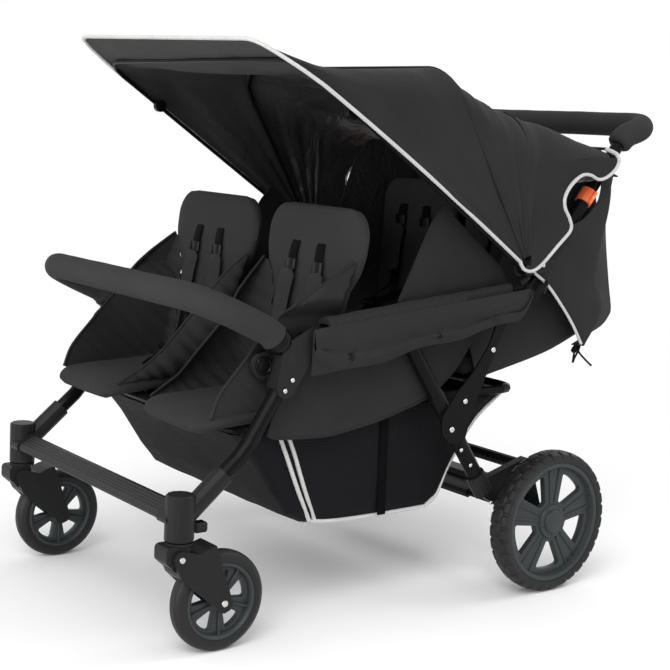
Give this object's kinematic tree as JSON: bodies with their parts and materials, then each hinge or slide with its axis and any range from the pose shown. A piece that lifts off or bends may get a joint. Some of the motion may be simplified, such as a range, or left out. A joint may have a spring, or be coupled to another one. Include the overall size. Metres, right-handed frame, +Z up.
{
  "type": "quadruple stroller",
  "caption": "Nursery pushchair with two rows of paired seats on a folding tube frame, sprung swivel casters, large rear wheels, basket, bumper bar and a wide folding hood.",
  "frame": {"origin": "on the ground under the middle of the object's box", "axes": "+Z up, -Y towards the front (the child faces -Y), +X to the stroller's left side; the side frames mirror each other across X = 0"},
  "size_m": [0.76, 1.1717, 1.0278],
  "materials": {
    "black_metal": "satin black powder coat",
    "moulded_black": "fine-textured moulded plastic",
    "foot_bar_plastic": "ribbed moulded plastic",
    "slate_rim": "dark slate moulded plastic",
    "tyre_rubber": "matt black rubber",
    "foam_grip": "closed-cell charcoal foam",
    "dark_cloth": "charcoal woven polyester",
    "basket_net": "black open net",
    "orange_plastic": "orange moulded plastic",
    "steel": "bright zinc-plated steel",
    "piping": "light grey piping",
    "webbing": "black ribbed webbing",
    "snap_plastic": "black acetal buckles and snaps",
    "hood_lining": "glossy black coated lining"
  },
  "bodies": {
    "seat_frame": {"seat_rail_left": "black_metal", "seat_rail_right": "black_metal", "seat_base_tube": "black_metal", "seat_cross_tube_middle": "black_metal", "seat_cross_tube_rear": "black_metal", "seat_pan_front_left": "dark_cloth", "seat_pan_front_right": "dark_cloth", "side_panel_left": "dark_cloth", "side_panel_right": "dark_cloth", "basket": "basket_net", "basket_bar": "black_metal"},
    "front_legs": {"front_leg_left": "black_metal", "front_leg_right": "black_metal", "leg_bracket_left": "moulded_black", "leg_bracket_right": "moulded_black", "caster_housing_left": "moulded_black", "caster_housing_right": "moulded_black", "front_crossbar": "foot_bar_plastic"},
    "rear_legs": {"rear_leg_left": "black_metal", "rear_leg_right": "black_metal", "wheel_bracket_left": "moulded_black", "wheel_bracket_right": "moulded_black", "rear_cross_tube": "black_metal", "rear_axle": "steel"},
    "handle": {"link_plate_left": "black_metal", "link_plate_right": "black_metal", "hood_clamp_left": "moulded_black", "hood_clamp_right": "moulded_black", "seat_pan_rear_left": "dark_cloth", "seat_pan_rear_right": "dark_cloth", "handle_tube": "black_metal", "handle_grip": "foam_grip", "rear_body": "dark_cloth", "hood_canopy": "dark_cloth"},
    "bumper": {"bumper_tube": "black_metal", "bumper_foam": "foam_grip"},
    "brake": {"brake_pedal": "moulded_black"},
    "hood_front": {"hood_front_bow": "black_metal"},
    "hood_mid": {"hood_mid_bow": "black_metal"},
    "caster_left": {"caster_yoke_left": "moulded_black"},
    "fork_left": {"front_fork_left": "moulded_black"},
    "front_wheel_left": {"front_tyre_left": "tyre_rubber", "front_rim_left": "slate_rim"},
    "rear_wheel_left": {"rear_tyre_left": "tyre_rubber", "rear_rim_left": "slate_rim"},
    "swivel_lock_left": {"swivel_lock_left": "moulded_black"},
    "release_slider_left": {"release_slider_left": "orange_plastic"},
    "front_back_left": {"seat_back_front_left": "dark_cloth"},
    "rear_back_left": {"seat_back_rear_left": "dark_cloth"},
    "caster_right": {"caster_yoke_right": "moulded_black"},
    "fork_right": {"front_fork_right": "moulded_black"},
    "front_wheel_right": {"front_tyre_right": "tyre_rubber", "front_rim_right": "slate_rim"},
    "rear_wheel_right": {"rear_tyre_right": "tyre_rubber", "rear_rim_right": "slate_rim"},
    "swivel_lock_right": {"swivel_lock_right": "moulded_black"},
    "release_slider_right": {"release_slider_right": "orange_plastic"},
    "front_back_right": {"seat_back_front_right": "dark_cloth"},
    "rear_back_right": {"seat_back_rear_right": "dark_cloth"}
  },
  "joints": [
    {"name": "frame_fold", "type": "hinge", "parent": "seat_frame", "child": "handle", "pos_m": [0, 0.22862, 0.6], "axis": [-1, 0, 0], "range_deg": [0, 40]},
    {"name": "front_leg_fold", "type": "hinge", "parent": "seat_frame", "child": "front_legs", "pos_m": [0, -0.30038, 0.54], "axis": [-1, 0, 0], "range_deg": [0, 40]},
    {"name": "rear_leg_fold", "type": "hinge", "parent": "seat_frame", "child": "rear_legs", "pos_m": [0, -0.07137, 0.528], "axis": [-1, 0, 0], "range_deg": [0, 64]},
    {"name": "bumper_swing", "type": "hinge", "parent": "front_legs", "child": "bumper", "pos_m": [0, -0.34537, 0.522], "axis": [-1, 0, 0], "range_deg": [0, 45]},
    {"name": "brake_press", "type": "hinge", "parent": "rear_legs", "child": "brake", "pos_m": [0, 0.28813, 0.144], "axis": [-1, 0, 0], "range_deg": [0, 18]},
    {"name": "hood_fold", "type": "hinge", "parent": "handle", "child": "hood_front", "pos_m": [0, 0.18962, 0.655], "axis": [-1, 0, 0], "range_deg": [0, 80], "deforming": ["hood_canopy"]},
    {"name": "hood_mid_fold", "type": "hinge", "parent": "handle", "child": "hood_mid", "pos_m": [0, 0.18962, 0.655], "axis": [-1, 0, 0], "range_deg": [0, 57.6]},
    {"name": "caster_swivel_left", "type": "hinge", "parent": "front_legs", "child": "caster_left", "pos_m": [0.31, -0.55037, 0.2062], "axis": [0, 0, 1], "continuous": true},
    {"name": "fork_spring_left", "type": "hinge", "parent": "caster_left", "child": "fork_left", "pos_m": [0.31, -0.55837, 0.18], "axis": [1, 0, 0], "range_deg": [0, 8], "stiffness_Nm_per_rad": 60, "springref_deg": -5.73},
    {"name": "front_wheel_spin_left", "type": "hinge", "parent": "fork_left", "child": "front_wheel_left", "pos_m": [0.31, -0.47037, 0.09], "axis": [-1, 0, 0], "continuous": true},
    {"name": "rear_wheel_spin_left", "type": "hinge", "parent": "rear_legs", "child": "rear_wheel_left", "pos_m": [0.357, 0.28813, 0.144], "axis": [-1, 0, 0], "continuous": true},
    {"name": "swivel_lock_slide_left", "type": "slide", "parent": "front_legs", "child": "swivel_lock_left", "axis": [0, 0, -1], "range_m": [0, 0.004]},
    {"name": "release_slide_left", "type": "slide", "parent": "handle", "child": "release_slider_left", "axis": [0, 0.6172, 0.7868], "range_m": [0, 0.012], "stiffness_N_per_m": 400, "springref_m": -0.005},
    {"name": "front_back_recline_left", "type": "hinge", "parent": "seat_frame", "child": "front_back_left", "pos_m": [0.172, -0.21838, 0.43387], "axis": [-1, 0, 0], "range_deg": [0, 25]},
    {"name": "rear_back_recline_left", "type": "hinge", "parent": "handle", "child": "rear_back_left", "pos_m": [0.14, 0.32262, 0.53115], "axis": [-1, 0, 0], "range_deg": [0, 10]},
    {"name": "caster_swivel_right", "type": "hinge", "parent": "front_legs", "child": "caster_right", "pos_m": [-0.31, -0.55037, 0.2062], "axis": [0, 0, 1], "continuous": true},
    {"name": "fork_spring_right", "type": "hinge", "parent": "caster_right", "child": "fork_right", "pos_m": [-0.31, -0.55837, 0.18], "axis": [1, 0, 0], "range_deg": [0, 8], "stiffness_Nm_per_rad": 60, "springref_deg": -5.73},
    {"name": "front_wheel_spin_right", "type": "hinge", "parent": "fork_right", "child": "front_wheel_right", "pos_m": [-0.31, -0.47037, 0.09], "axis": [-1, 0, 0], "continuous": true},
    {"name": "rear_wheel_spin_right", "type": "hinge", "parent": "rear_legs", "child": "rear_wheel_right", "pos_m": [-0.357, 0.28813, 0.144], "axis": [-1, 0, 0], "continuous": true},
    {"name": "swivel_lock_slide_right", "type": "slide", "parent": "front_legs", "child": "swivel_lock_right", "axis": [0, 0, -1], "range_m": [0, 0.004]},
    {"name": "release_slide_right", "type": "slide", "parent": "handle", "child": "release_slider_right", "axis": [0, 0.6172, 0.7868], "range_m": [0, 0.012], "stiffness_N_per_m": 400, "springref_m": -0.005},
    {"name": "front_back_recline_right", "type": "hinge", "parent": "seat_frame", "child": "front_back_right", "pos_m": [-0.172, -0.21838, 0.43387], "axis": [-1, 0, 0], "range_deg": [0, 25]},
    {"name": "rear_back_recline_right", "type": "hinge", "parent": "handle", "child": "rear_back_right", "pos_m": [-0.14, 0.32262, 0.53115], "axis": [-1, 0, 0], "range_deg": [0, 10]}
  ],
  "couplings": [
    {"joint": "front_leg_fold", "follows": "frame_fold", "ratio": 1},
    {"joint": "rear_leg_fold", "follows": "frame_fold", "ratio": 1.6},
    {"joint": "hood_mid_fold", "follows": "hood_fold", "ratio": 0.72}
  ]
}
